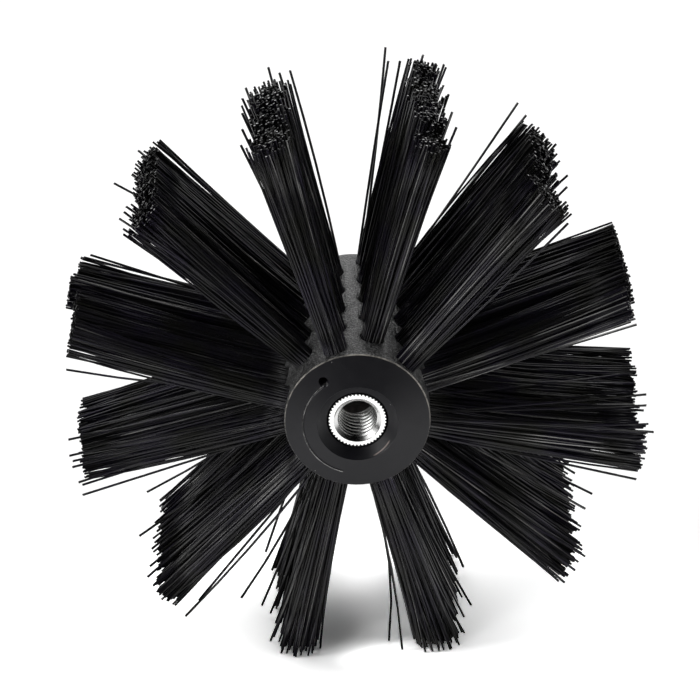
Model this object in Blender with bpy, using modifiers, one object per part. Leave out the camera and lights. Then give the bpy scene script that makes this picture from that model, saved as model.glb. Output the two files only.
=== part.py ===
"""A duct brush head: a plastic hub, a knurled and threaded metal insert, and twelve rows of nylon tufts.

The hub's axis runs along Y and its threaded end faces -Y. The brush stands on its bristles at Z = 0.
Angles around the axis are seen from the threaded end: 0 degrees is +X and 90 degrees is +Z.
"""

import math

import bmesh
import bpy
from mathutils import Matrix, Vector

# Tuft holes, in rows along the hub. Every other row starts half a pitch further back.
ROW_COUNT = 12
TUFTS_PER_ROW = 5
TUFT_PITCH = 0.0076
TUFT_HOLE_DIAMETER = 0.0042
TUFT_LAND = 0.0024  # hub surface left between neighbouring rows
END_LAND = 0.0011  # from the last hole's pocket to the end of the hub
POCKET_WALL = 0.0007  # left between neighbouring pockets at their floor

# Hub
RIM_FILLET = 0.00025
FACE_SLOPE = math.radians(14.5)  # of the coned face, which falls away from the dish's edge to the rim
DISH_WIDTH = 0.00155  # slope from the dish's edge in to the insert's bore
CROWN_FILLET = 0.0008
STUD_ROOM_DEPTH = 0.004  # plain hole behind the insert, for the end of the rod's stud
STUD_CLEARANCE = 0.0003

# Locating hole and arc groove in the hub's face
LOCATING_HOLE_DIAMETER = 0.0015
LOCATING_HOLE_DEPTH = 0.003
LOCATING_HOLE_INSET = 0.0028  # from the rim in to the hole's centre
LOCATING_HOLE_ANGLE = math.radians(124.5)
GROOVE_WIDTH = 0.0003
GROOVE_START_INSET = 0.0035  # from the rim in to the groove where it starts
GROOVE_END_INSET = 0.00285
GROOVE_START = math.radians(123)
GROOVE_END = math.radians(252)

# Threaded insert
THREAD_DIAMETER = 0.008
THREAD_PITCH = 0.00125
INSERT_LENGTH = 0.01
INSERT_WALL = 0.0008  # from the thread's root to the knurl's root
KNURL_DEPTH = 0.0003
KNURL_TEETH = 48
BORE_CHAMFER = 0.0008

# Bristles. Each strand stands for about a dozen real filaments.
TIP_DIAMETER = 0.0995
TIP_FAN = 0.0007  # neighbouring tufts' tips stand this much further apart than their roots
TUFT_TIP_WIDTH = 0.009  # a tuft's width at its tips, across the row
TIP_GAP = 0.0004  # between the tips of neighbouring tufts
STRANDS_AROUND = 6  # and one in the middle of each tuft
STRAND_GAP = 0.00016  # between neighbouring strands at the root
STRAND_EDGE = 0.00006  # from a strand's corner to the edge of its hole
STRAND_SEAT = 0.001  # the depth of a strand's end in its backing
STRAND_SIDES = 4
STANDING_BOW = 0.0015  # the two rows that carry the brush bow, and reach this much less
STANDING_FLAT = 0.0005  # cut off the tips that the brush stands on

# Clearances and mesh detail
CLEARANCE = 0.0003
OVERRUN = 0.002
WELD_DISTANCE = 0.000001
HUB_SIDES = 48
THREAD_SIDES = 24
ARC_STEPS = 6
GROOVE_STEPS = 24
HOLE_SIDES = 16
FILLET_STEPS = 3
SMOOTH_ANGLE = math.radians(30)

# The shape of a metric thread, as shares of its pitch
MINOR_FLAT_SHARE = 1 / 4
FLANK_SHARE = 5 / 16
MAJOR_FLAT_SHARE = 1 / 8
DEPTH_SHARE = 5 / 16 / math.tan(math.radians(30))

# Sizes worked out from those above
HOLE_RADIUS = TUFT_HOLE_DIAMETER / 2
POCKET_HALF_WIDTH = HOLE_RADIUS + CLEARANCE
HUB_RADIUS = ROW_COUNT * (TUFT_HOLE_DIAMETER + TUFT_LAND) / math.tau
END_MARGIN = END_LAND + POCKET_HALF_WIDTH
HUB_LENGTH = 2 * END_MARGIN + (TUFTS_PER_ROW - 1 / 2) * TUFT_PITCH
RIM_Z = HUB_LENGTH / 2
HALF_STEP = math.pi / ROW_COUNT
POCKET_FLOOR = (POCKET_WALL / 2 + POCKET_HALF_WIDTH * math.cos(HALF_STEP)) / math.sin(HALF_STEP)
ROW_SHIFT = TUFT_PITCH / 4
INSERT_RADIUS = THREAD_DIAMETER / 2 + INSERT_WALL + KNURL_DEPTH
BORE_RADIUS = INSERT_RADIUS + CLEARANCE
STUD_ROOM_RADIUS = THREAD_DIAMETER / 2 + STUD_CLEARANCE
DISH_EDGE_RADIUS = BORE_RADIUS + DISH_WIDTH
FACE_END_RADIUS = HUB_RADIUS - RIM_FILLET * (1 - math.sin(FACE_SLOPE))
THREAD_MINOR_RADIUS = THREAD_DIAMETER / 2 - DEPTH_SHARE * THREAD_PITCH
RING_SLOPE = math.sin(math.tau / STRANDS_AROUND)
STRAND_WIDTH = (RING_SLOPE * (HOLE_RADIUS - STRAND_EDGE) - STRAND_GAP) / (1 + RING_SLOPE / math.sqrt(2))
ROOT_RING = HOLE_RADIUS - STRAND_EDGE - STRAND_WIDTH / math.sqrt(2)
TIP_PITCH = TUFT_PITCH + TIP_FAN
TIP_RING_ACROSS = (TUFT_TIP_WIDTH - STRAND_WIDTH) / 2
TIP_RING_ALONG = (TIP_PITCH - STRAND_WIDTH - TIP_GAP) / (2 * RING_SLOPE)

# The hub and the insert are modelled along Z, front up, and laid down with the front towards -Y.
LAID_DOWN = (math.radians(90), 0, 0)


def clear_scene():
    for obj in list(bpy.data.objects):
        bpy.data.objects.remove(obj, do_unlink=True)


def new_collection(name):
    collection = bpy.data.collections.new(name)
    bpy.context.scene.collection.children.link(collection)
    return collection


def principled(name, colour, roughness, metallic):
    material = bpy.data.materials.new(name)
    material.use_nodes = True
    shader = material.node_tree.nodes["Principled BSDF"]
    shader.inputs["Base Color"].default_value = (*colour, 1)
    shader.inputs["Roughness"].default_value = roughness
    shader.inputs["Metallic"].default_value = metallic
    material.diffuse_color = (*colour, 1)
    return material


def add_object(name, mesh, collection, parent=None):
    obj = bpy.data.objects.new(name, mesh)
    collection.objects.link(obj)
    obj.parent = parent
    return obj


def make_cutter(obj):
    obj.hide_render = True
    obj.display_type = "WIRE"
    return obj


def boolean(obj, other, operation):
    modifier = obj.modifiers.new(f"{operation.lower()} {other.name}", "BOOLEAN")
    modifier.operation = operation
    modifier.solver = "EXACT"
    modifier.object = other


def evaluated_mesh(obj, name):
    """A mesh with the object's modifiers applied, its loose caps welded."""
    bpy.context.view_layer.update()
    mesh = bpy.data.meshes.new_from_object(obj.evaluated_get(bpy.context.evaluated_depsgraph_get()))
    mesh.name = name
    bm = bmesh.new()
    bm.from_mesh(mesh)
    bmesh.ops.remove_doubles(bm, verts=bm.verts, dist=WELD_DISTANCE)
    bmesh.ops.recalc_face_normals(bm, faces=bm.faces)
    bm.to_mesh(mesh)
    bm.free()
    return mesh


def shade_smooth(obj):
    """Applies the object's modifiers and shades it smooth between its sharp edges."""
    obj.data = evaluated_mesh(obj, obj.name)
    obj.modifiers.clear()
    obj.data.shade_smooth()
    obj.data.set_sharp_from_angle(angle=SMOOTH_ANGLE)


def mesh_from_curve(name, points, collection, cyclic, **settings):
    """A closed mesh from a straight-sided curve, whose settings make it a plate or a tube."""
    curve = bpy.data.curves.new(name, "CURVE")
    for key, value in settings.items():
        setattr(curve, key, value)
    spline = curve.splines.new("POLY")
    spline.points.add(len(points) - 1)
    for point, place in zip(spline.points, points):
        point.co = (*place, 1)
    spline.use_cyclic_u = cyclic
    guide = add_object(name + " curve", curve, collection)
    mesh = evaluated_mesh(guide, name)
    bpy.data.objects.remove(guide)
    return mesh


def plate_mesh(name, outline, thickness, collection):
    """A flat outline in XY made as thick as asked, with its middle at Z = 0."""
    points = [(x, y, 0) for x, y in outline]
    settings = {"dimensions": "2D", "fill_mode": "BOTH", "extrude": thickness / 2}
    return mesh_from_curve(name, points, collection, True, **settings)


def arc(radius, start, end, steps, centre=(0, 0)):
    angles = [start + (end - start) * i / steps for i in range(steps + 1)]
    return [(centre[0] + radius * math.cos(a), centre[1] + radius * math.sin(a)) for a in angles]


def turned(name, profile, sides, collection):
    """An object turned around Z from points (radius, z) that run down its outer side."""
    mesh = bpy.data.meshes.new(name)
    edges = [(i, i + 1) for i in range(len(profile) - 1)]
    mesh.from_pydata([(radius, 0, z) for radius, z in profile], edges, [])
    obj = add_object(name, mesh, collection)
    screw = obj.modifiers.new("turn", "SCREW")
    screw.axis = "Z"
    screw.steps = sides
    screw.render_steps = sides
    screw.use_merge_vertices = True
    screw.merge_threshold = WELD_DISTANCE
    return obj


def cylinder_mesh(name, radius, depth, sides):
    """A closed cylinder along Z with its middle at the origin and a corner at +Y."""
    mesh = bpy.data.meshes.new(name)
    bm = bmesh.new()
    bmesh.ops.create_cone(bm, cap_ends=True, segments=sides, radius1=radius, radius2=radius, depth=depth)
    bm.to_mesh(mesh)
    bm.free()
    return mesh


def face_height(radius):
    """The height of the hub's coned front face at this radius, above the rim."""
    return (FACE_END_RADIUS - radius) * math.tan(FACE_SLOPE)


def hub_profile():
    """From the bottom of the stud's hole up and out to the dish, over the face and down to the back."""
    shoulder = RIM_Z - INSERT_LENGTH - CLEARANCE
    points = [(0, shoulder - STUD_ROOM_DEPTH), (STUD_ROOM_RADIUS, shoulder - STUD_ROOM_DEPTH)]
    points += [(STUD_ROOM_RADIUS, shoulder), (BORE_RADIUS, shoulder), (BORE_RADIUS, RIM_Z)]
    dish_share = 1 - CROWN_FILLET / 2 / DISH_WIDTH
    points += [(BORE_RADIUS + dish_share * DISH_WIDTH, RIM_Z + dish_share * face_height(DISH_EDGE_RADIUS))]
    start = DISH_EDGE_RADIUS + CROWN_FILLET / 2
    points += [(start, RIM_Z + face_height(start))]
    side = HUB_RADIUS - RIM_FILLET
    front_centre = (side, RIM_Z - RIM_FILLET * math.cos(FACE_SLOPE))
    points += reversed(arc(RIM_FILLET, 0, math.pi / 2 - FACE_SLOPE, FILLET_STEPS, front_centre))
    points += reversed(arc(RIM_FILLET, -math.pi / 2, 0, FILLET_STEPS, (side, RIM_FILLET - RIM_Z)))
    points += [(0, -RIM_Z)]
    return points


def row_turn(angle):
    """Turns a row's own frame, with Z outwards, to its angle around the hub."""
    return (0, math.radians(90) - angle, 0)


def stadium(half_width):
    """The outline around a row of round holes, along Y."""
    reach = (TUFTS_PER_ROW - 1) * TUFT_PITCH / 2
    outline = arc(half_width, 0, math.pi, ARC_STEPS, (0, reach))
    return outline + arc(half_width, math.pi, math.tau, ARC_STEPS, (0, -reach))


def row_block(name, half_width, floor, collection):
    """A block the shape of a row's pocket, from its floor to outside the hub."""
    top = HUB_RADIUS + OVERRUN
    mesh = plate_mesh(name, stadium(half_width), top - floor, collection)
    mesh.transform(Matrix.Translation((0, 0, (top + floor) / 2)))
    return mesh


def strand_ends(reach):
    """The root and the tip of each strand of a row, in the row's frame: X across, Y along, Z outwards."""
    ends = []
    root_height = HUB_RADIUS - STRAND_SEAT
    for tuft in range(TUFTS_PER_ROW):
        place = tuft - (TUFTS_PER_ROW - 1) / 2
        shares = [(0, 0)] + arc(1, 0, math.tau, STRANDS_AROUND)[:-1]
        for across, along in shares:
            root = Vector((ROOT_RING * across, place * TUFT_PITCH + ROOT_RING * along, root_height))
            tip_x = TIP_RING_ACROSS * across
            tip_height = math.sqrt(reach**2 - tip_x**2)
            tip = Vector((tip_x, place * TIP_PITCH + TIP_RING_ALONG * along, tip_height))
            ends.append((root, tip))
    return ends


def strand_matrix(root, tip):
    """Stands a unit of the Z axis along the strand, with one side square to the row."""
    along = (tip - root).normalized()
    side = Vector((0, 1, 0)).cross(along).normalized()
    turn = Matrix((side, along.cross(side), along)).transposed().to_4x4()
    return Matrix.Translation((root + tip) / 2) @ turn @ Matrix.Rotation(math.pi / STRAND_SIDES, 4, "Z")


def strands_mesh(reach):
    """All the strands of a row, each a four-sided rod that ends this far from the hub's axis."""
    bm = bmesh.new()
    corner = STRAND_WIDTH / math.sqrt(2)
    for root, tip in strand_ends(reach):
        settings = {"segments": STRAND_SIDES, "radius1": corner, "radius2": corner}
        matrix = strand_matrix(root, tip)
        bmesh.ops.create_cone(bm, cap_ends=True, depth=(tip - root).length, matrix=matrix, **settings)
    mesh = bpy.data.meshes.new("strands of a row")
    bm.to_mesh(mesh)
    bm.free()
    return mesh


def row_mesh(reach, cutters):
    """A slice of the hub's surface with the strands of its row standing in it."""
    block = row_block("row slice", HOLE_RADIUS, POCKET_FLOOR + CLEARANCE, cutters)
    backing = add_object("row slice", block, cutters)
    skin = cylinder_mesh("hub surface", HUB_RADIUS, HUB_LENGTH + OVERRUN, HUB_SIDES)
    skin.transform(Matrix.Rotation(math.pi / 2, 4, "X"))
    skin_cutter = add_object("hub surface", skin, cutters)
    strands = add_object("strands", strands_mesh(reach), cutters)
    boolean(backing, skin_cutter, "INTERSECT")
    boolean(backing, strands, "UNION")
    mesh = evaluated_mesh(backing, "bristle row")
    for helper in (backing, skin_cutter, strands):
        bpy.data.objects.remove(helper)
    return mesh


def row_angles():
    return [(2 * row + 1) * HALF_STEP for row in range(ROW_COUNT)]


def is_standing(angle):
    """True for the two rows on either side of straight down."""
    return abs(angle - 3 * math.pi / 2) < 2 * HALF_STEP


def lowest_tip(mesh):
    """The height of the lowest point of a standing row of this mesh, from the hub's axis."""
    turn = Matrix.Rotation(row_turn(3 * math.pi / 2 + HALF_STEP)[1], 3, "Y")
    return min((turn @ vertex.co).z for vertex in mesh.vertices)


def floor_cutter(cutters):
    """A block that reaches up to the surface the brush stands on."""
    mesh = bpy.data.meshes.new("floor")
    bm = bmesh.new()
    width = TIP_DIAMETER + OVERRUN
    depth = STANDING_FLAT + OVERRUN
    placing = Matrix.Translation((0, 0, -depth / 2)) @ Matrix.Diagonal((width, width, depth, 1))
    bmesh.ops.create_cube(bm, size=1, matrix=placing)
    bm.to_mesh(mesh)
    bm.free()
    return make_cutter(add_object("floor", mesh, cutters))


def build_rows(free, standing, axis, parts, cutters):
    floor = floor_cutter(cutters)
    for row, angle in enumerate(row_angles()):
        name = f"bristle_row_{round(math.degrees(angle)):03d}"
        obj = add_object(name, standing if is_standing(angle) else free, parts, axis)
        obj.rotation_euler = row_turn(angle)
        obj.location.y = ROW_SHIFT if row % 2 == 0 else -ROW_SHIFT
        if is_standing(angle):
            boolean(obj, floor, "DIFFERENCE")


def build_hub(axis, parts, cutters):
    hub = turned("hub", hub_profile(), HUB_SIDES, parts)
    hub.parent = axis
    hub.rotation_euler = LAID_DOWN
    pocket = row_block("pocket", POCKET_HALF_WIDTH, POCKET_FLOOR, cutters)
    for row, angle in enumerate(row_angles()):
        cutter = make_cutter(add_object(f"pocket {row + 1}", pocket, cutters, axis))
        cutter.rotation_euler = row_turn(angle)
        cutter.location.y = ROW_SHIFT if row % 2 == 0 else -ROW_SHIFT
        boolean(hub, cutter, "DIFFERENCE")
    for cutter in (locating_hole_cutter(axis, cutters), groove_cutter(axis, cutters)):
        boolean(hub, cutter, "DIFFERENCE")
    shade_smooth(hub)
    return hub


def locating_hole_cutter(axis, cutters):
    radius = HUB_RADIUS - LOCATING_HOLE_INSET
    depth = LOCATING_HOLE_DEPTH + OVERRUN
    mesh = cylinder_mesh("locating hole", LOCATING_HOLE_DIAMETER / 2, depth, HOLE_SIDES)
    middle = RIM_Z + face_height(radius) - LOCATING_HOLE_DEPTH + depth / 2
    place = (radius * math.cos(LOCATING_HOLE_ANGLE), radius * math.sin(LOCATING_HOLE_ANGLE), middle)
    mesh.transform(Matrix.Translation(place))
    cutter = make_cutter(add_object("locating hole", mesh, cutters, axis))
    cutter.rotation_euler = LAID_DOWN
    return cutter


def groove_cutter(axis, cutters):
    points = []
    for x, y in arc(1, GROOVE_START, GROOVE_END, GROOVE_STEPS):
        share = len(points) / GROOVE_STEPS
        radius = HUB_RADIUS - GROOVE_START_INSET * (1 - share) - GROOVE_END_INSET * share
        points.append((radius * x, radius * y, RIM_Z + face_height(radius)))
    tube = {"dimensions": "3D", "bevel_depth": GROOVE_WIDTH / 2, "bevel_resolution": 1, "use_fill_caps": True}
    mesh = mesh_from_curve("arc groove", points, cutters, False, **tube)
    cutter = make_cutter(add_object("arc groove", mesh, cutters, axis))
    cutter.rotation_euler = LAID_DOWN
    return cutter


def thread_profile():
    """One pitch of the thread, as points (radius, z) from the top down."""
    major = THREAD_DIAMETER / 2
    below_flat = 1 - MINOR_FLAT_SHARE
    shares = [(0, 1), (0, below_flat), (1, below_flat - FLANK_SHARE)]
    shares += [(1, below_flat - FLANK_SHARE - MAJOR_FLAT_SHARE), (0, 0)]
    depth = major - THREAD_MINOR_RADIUS
    return [(THREAD_MINOR_RADIUS + out * depth, up * THREAD_PITCH) for out, up in shares]


def threaded_rod_mesh(length, cutters):
    """A rod with a right-hand thread along Z, cut square at both ends, from Z = -length to 0."""
    obj = turned("threaded rod", thread_profile(), THREAD_SIDES, cutters)
    turns = math.ceil(length / THREAD_PITCH) + 2
    screw = obj.modifiers["turn"]
    screw.use_merge_vertices = False
    screw.screw_offset = THREAD_PITCH
    screw.iterations = turns
    obj.location.z = -length - THREAD_PITCH
    mesh = evaluated_mesh(obj, "threaded rod")
    mesh.transform(Matrix.Translation(obj.location))
    bpy.data.objects.remove(obj)
    bm = bmesh.new()
    bm.from_mesh(mesh)
    for height, outwards in ((0, 1), (-length, -1)):
        geometry = bm.verts[:] + bm.edges[:] + bm.faces[:]
        plane = {"plane_co": (0, 0, height), "plane_no": (0, 0, outwards)}
        bmesh.ops.bisect_plane(bm, geom=geometry, dist=WELD_DISTANCE, clear_outer=True, **plane)
        rim = [edge for edge in bm.edges if edge.is_boundary and is_level(edge, height)]
        bmesh.ops.triangle_fill(bm, edges=rim, use_beauty=True)
    bmesh.ops.recalc_face_normals(bm, faces=bm.faces)
    bm.to_mesh(mesh)
    bm.free()
    return mesh


def is_level(edge, height):
    return all(abs(vertex.co.z - height) < WELD_DISTANCE for vertex in edge.verts)


def knurl_outline():
    """A star with one point for each tooth of the knurl."""
    corners = arc(1, 0, math.tau, 2 * KNURL_TEETH)[:-1]
    radii = [INSERT_RADIUS - KNURL_DEPTH * (i % 2) for i in range(2 * KNURL_TEETH)]
    return [(x * radius, y * radius) for (x, y), radius in zip(corners, radii)]


def build_insert(axis, parts, cutters):
    body = plate_mesh("insert", knurl_outline(), INSERT_LENGTH, cutters)
    body.transform(Matrix.Translation((0, 0, RIM_Z - INSERT_LENGTH / 2)))
    insert = add_object("threaded_insert", body, parts, axis)
    insert.rotation_euler = LAID_DOWN
    rod = threaded_rod_mesh(INSERT_LENGTH + 2 * OVERRUN, cutters)
    rod.transform(Matrix.Translation((0, 0, RIM_Z + OVERRUN)))
    mouth_radius = THREAD_MINOR_RADIUS + BORE_CHAMFER
    mouth = [(0, RIM_Z + OVERRUN), (mouth_radius + OVERRUN, RIM_Z + OVERRUN)]
    mouth += [(mouth_radius - BORE_CHAMFER, RIM_Z - BORE_CHAMFER), (0, RIM_Z - BORE_CHAMFER)]
    chamfer = turned("bore chamfer", mouth, HUB_SIDES, cutters)
    chamfer.parent = axis
    for cutter in (add_object("threaded rod", rod, cutters, axis), chamfer):
        make_cutter(cutter).rotation_euler = LAID_DOWN
        boolean(insert, cutter, "DIFFERENCE")
    shade_smooth(insert)
    return insert


def main():
    clear_scene()
    parts = new_collection("dryer_vent_brush")
    cutters = new_collection("cutters")
    nylon = principled("black nylon", (0.012, 0.012, 0.014), 0.4, 0)
    free = row_mesh(TIP_DIAMETER / 2, cutters)
    standing = row_mesh(TIP_DIAMETER / 2 - STANDING_BOW, cutters)
    for mesh in (free, standing):
        mesh.materials.append(nylon)
    axis = add_object("hub_axis", None, parts)
    axis.location.z = -lowest_tip(standing) - STANDING_FLAT
    build_rows(free, standing, axis, parts, cutters)
    hub = build_hub(axis, parts, cutters)
    hub.data.materials.append(principled("black plastic", (0.03, 0.03, 0.031), 0.42, 0))
    insert = build_insert(axis, parts, cutters)
    insert.data.materials.append(principled("bright plated steel", (0.78, 0.78, 0.76), 0.22, 1))


main()
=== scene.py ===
"""Dryer vent brush, dressed: a moulded hub, a knurled and threaded insert, and sixty flared tufts.

The hub's axis runs along Y with the threaded end towards -Y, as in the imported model. Angles round the
axis are seen from the threaded end: 0 degrees is +X and 90 degrees is +Z. Lengths are in metres.
"""

import math

import bmesh
import bpy
import numpy as np
from mathutils import Matrix, Vector


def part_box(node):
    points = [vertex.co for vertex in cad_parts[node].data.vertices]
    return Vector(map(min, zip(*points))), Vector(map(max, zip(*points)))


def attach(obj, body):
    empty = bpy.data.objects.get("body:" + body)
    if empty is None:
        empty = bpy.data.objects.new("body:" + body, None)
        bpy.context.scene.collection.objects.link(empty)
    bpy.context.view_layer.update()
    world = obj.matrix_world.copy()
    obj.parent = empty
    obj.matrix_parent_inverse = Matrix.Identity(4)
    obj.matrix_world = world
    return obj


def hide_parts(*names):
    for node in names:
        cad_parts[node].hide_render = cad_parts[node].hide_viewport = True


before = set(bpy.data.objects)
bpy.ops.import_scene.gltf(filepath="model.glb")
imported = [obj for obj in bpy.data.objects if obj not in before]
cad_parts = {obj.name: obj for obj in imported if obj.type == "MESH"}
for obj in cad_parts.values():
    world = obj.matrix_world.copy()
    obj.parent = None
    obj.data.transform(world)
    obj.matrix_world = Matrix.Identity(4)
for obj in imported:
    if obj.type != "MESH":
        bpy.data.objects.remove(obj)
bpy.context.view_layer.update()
MM = 0.001
WELD_DISTANCE = 0.000001

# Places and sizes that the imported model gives
HUB_LOW, HUB_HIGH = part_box("hub")
INSERT_LOW, INSERT_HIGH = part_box("threaded_insert")
HUB_RADIUS = (HUB_HIGH[0] - HUB_LOW[0]) / 2
AXIS_HEIGHT = (HUB_LOW[2] + HUB_HIGH[2]) / 2
RIM_Y = INSERT_LOW[1]
INSERT_LENGTH = INSERT_HIGH[1] - INSERT_LOW[1]

# Rows and tufts
ROW_COUNT = 12
ROW_STEP = math.tau / ROW_COUNT
ROW_SEED = 40
TUFTS_PER_ROW = 5
TUFT_PITCH = 0.0076
ROW_SHIFT = 0.0019  # back in even rows, forward in odd ones
STRANDS_PER_TUFT = 85
STRAND_RADIUS = 0.0002
STRAND_SPACING = 0.000405  # between neighbouring strands in their hole
STRAND_SIDES = 6
STRAND_STATIONS = (0, 0.14, 0.32, 0.54, 0.77, 1)
END_QUADS = 2  # on each end of a strand
LATTICE_REACH = 8
LATTICE_OFFSET = (0.07, 0.04)  # of the lattice from the hole's middle, in spacings
ROOT_DEPTH = 0.0013
FLOOR_GAP = 0.00022
LEAST_FALL = 0.001  # taken for strands that fall less than this, or rise
TRIM_SPREAD = 0.0004  # how far the strands' ends fall short of their tuft's
TUFT_TRIM_SPREAD = 0.0004  # of the tufts' ends about their row's
TIP_JITTER = 0.00035
BOW = 0.00035
END_TILT = 0.16
CORE_PULL = 0.6
WILD_SHARE = 0.02
WILD_SPREAD = (1.2, 1.6)
# The share of strands that have one side painted pale as a highlight line
HIGHLIGHT_LINE_SHARE = 0.4
STRAY_RADIUS = 0.00023
STRAY_CURVE = 0.1
SQUARE_REACH = 0.0200
END_REACH = 0.0234

# How each row stands, by its angle: its lean round the axis in degrees, then in millimetres half the width
# of a tuft at its tips, across and along the row, how far the tips lie behind their roots, their distance
# from the axis, and how much further apart the tufts' tips stand than their roots. Last comes the curve of
# the flare: 0 is straight from the root, 1 is all near the tips. A fitting program worked these numbers out
# from the rows' outlines in the photograph. They were then rounded, and a few changed.
ROW_LAY = {
    15: (1.5, 2.9, 4.0, 2.7, 50.6, -0.8, 0.3),
    45: (1.4, 3.8, 4.2, 2.1, 50.6, 0.0, 0.1),
    75: (-2.1, 3.4, 4.7, 2.7, 51.0, 0.5, 0.8),
    105: (-0.6, 3.9, 4.6, 1.3, 51.2, -1.0, 0.6),
    135: (0.1, 3.8, 4.3, 1.9, 49.8, -0.9, 0.4),
    165: (-1.3, 3.0, 4.1, 2.9, 50.4, -1.2, 0.3),
    195: (0.3, 2.6, 4.5, 2.0, 51.1, -2.8, 0.1),
    225: (-0.4, 3.2, 4.2, 1.6, 49.7, -0.6, 0.5),
    255: (0.0, 4.1, 5.1, -2.1, 49.7, -0.3, 0.9),
    285: (-0.2, 4.8, 4.3, 1.2, 49.3, 0.1, 1.0),
    315: (1.4, 4.2, 4.6, 1.4, 49.8, 0.2, 0.5),
    345: (2.0, 5.0, 4.2, 2.4, 50.3, 0.0, 0.5),
}

# Strands that stand away from their tufts, by row: the tuft, counted from the threaded end, then in
# millimetres how far the tip lies across and along the row from the middle of the tuft's hole, and its
# distance from the axis. A fifth number is the curve of a strand that isn't nearly straight. A program
# worked these places out from the tips' pixels in the photograph, most of which another program had found.
# They were then rounded, and a few changed.
STRAYS = {
    15: ((0, 1.6, -5.2, 50.7),),
    45: ((0, -2.0, -1.6, 50.7), (1, -2.5, 0.5, 50.7), (2, -3.4, 0.6, 50.7), (3, -4.1, -0.9, 50.7),
         (4, -2.1, 1.9, 50.7), (4, 6.4, 7.7, 50.7), (4, 4.8, 4.3, 50.7)),
    75: ((1, -6.5, 0.9, 50.9), (2, -6.0, -0.5, 50.9), (3, -5.7, -0.3, 50.9), (4, -5.4, 6.2, 50.9),
         (4, -1.4, 6.2, 51.6), (4, 2.7, 2.3, 50.9), (4, 4.8, 1.6, 50.9), (4, 5.4, 6.2, 51.9)),
    105: ((4, -4.6, 2.7, 51.2), (4, -0.7, 6.6, 51.2), (4, -2.7, 2.7, 51.2), (4, 3.5, 0.6, 51.2),
          (4, 4.2, -3.2, 51.2), (3, 4.2, -2.4, 51.2), (2, 4.2, -1.7, 51.2), (1, 4.4, -0.9, 51.2)),
    135: ((4, 1.9, 6.4, 49.8), (4, -3.8, 0.6, 49.7), (4, 9.5, 6.1, 49.7), (2, 4.8, 1.7, 49.7),
          (2, 5.4, 0.5, 49.7), (2, 6.8, 0.2, 49.7), (1, 5.3, 0.8, 49.7), (1, 5.2, -1.6, 49.7)),
    165: ((4, -9.6, -8.4, 50.4),),
    195: ((1, -12.5, 12.2, 51.3), (1, -6.1, -2.5, 51.3), (0, -4.8, 1.4, 51.3), (0, -2.9, 2.9, 51.3),
          (0, -2.7, 1.0, 51.3), (0, 0.8, 1.7, 51.3), (0, 2.5, 3.8, 51.3), (0, 2.7, 0.3, 51.3)),
    225: ((3, -5.7, 9.9, 49.7), (2, -7.2, -1.5, 49.7), (2, -3.9, -1.7, 49.7), (0, -4.7, 2.0, 49.7),
          (0, -3.3, 0.6, 49.7), (0, -2.3, -0.3, 49.7), (0, 4.3, -1.4, 49.7), (0, 7.1, 7.3, 49.7),
          (1, -4.2, -1.0, 49.7)),
    255: ((4, -5.5, 1.8, 49.7), (1, -10.3, 3.9, 49.7, 0.4), (3, -4.3, 3.1, 49.7), (1, -6.3, 4.0, 49.7),
          (1, -4.7, 2.0, 49.7), (0, -4.8, -0.7, 49.7)),
    285: ((0, -8.6, 1.8, 47.0, 1), (0, -6.4, -1.6, 47.2, 1), (1, 6.3, 3.2, 49.2), (1, 4.8, 0.0, 49.2),
          (3, 5.5, 2.9, 49.2)),
    315: ((0, -0.2, -4.8, 49.7), (0, 2.6, -4.2, 49.7), (1, 7.2, 4.3, 49.7), (2, 9.6, -1.5, 49.7),
          (4, 5.9, -2.8, 49.7), (0, 5.0, -0.2, 49.7), (1, 4.1, -3.1, 49.7)),
    345: ((1, 7.1, -0.8, 50.4), (0, 10.0, 2.9, 50.4), (0, 11.4, 4.3, 50.4), (0, 5.7, -2.5, 50.4),
          (0, 9.2, -6.2, 51.0), (0, -2.5, -1.0, 50.4), (1, 5.8, 16.7, 50.4)),
}

# Hub
SIDE_CELLS = 8  # from a tuft hole's middle to the edge of its square
# For each ring of grid steps round a tuft hole: its radius, its depth, and its share of the plain grid
HOLE_RINGS = np.array([0, 0.9, 1.75, 2.1, 2.12, 2.16, 2.3, 2.75, 0]) * MM
HOLE_DEPTHS = np.array([1.6, 1.6, 1.6, 1.5, 0.25, 0.08, 0, 0, 0]) * MM
HOLE_BLEND = np.array([0, 0, 0, 0, 0, 0, 0, 0.6, 1])
RIM_FILLET = 0.00025
FILLET_STEPS = 4
FACE_SLOPE = math.radians(14.5)
FACE_RADIUS = HUB_RADIUS - RIM_FILLET * (1 - math.sin(FACE_SLOPE))  # where the face meets the rim's fillet
DISH_EDGE_RADIUS = 0.00695
DISH_STATIONS = np.array([0, 0.15, 0.3, 0.45, 0.6, 0.75, 0.86, 0.93, 0.97])
DISH_ROUND_START = 0.75
DISH_ROUND_DROP = 0.06
BORE_RADIUS = 0.00532
BORE_MOUTH = 0.0006
STUD_ROOM_RADIUS = 0.0043
STUD_ROOM_DEPTH = 0.004
STUD_ROOM_RIDGES = 3
STUD_ROOM_RIDGE = 0.0004
STATIONS_PER_RIDGE = 6
CLEARANCE = 0.0003
BACK_FLAT_END = 0.0016
BACK_RINGS = 12
GATE_PROFILE = np.array([(1.5, 0.02), (1.35, 0.1), (1.2, 0.12), (0.6, 0.12), (0, 0.12)]) * MM

# Marks in the hub's face
FACE_START = 0.04 * MM
BEFORE_GROOVE = np.array([0, 0.06, 0.3, 0.55, 0.8])
AFTER_GROOVE = np.array([0.75, 0.5, 0.25, 0.06, 0])
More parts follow.
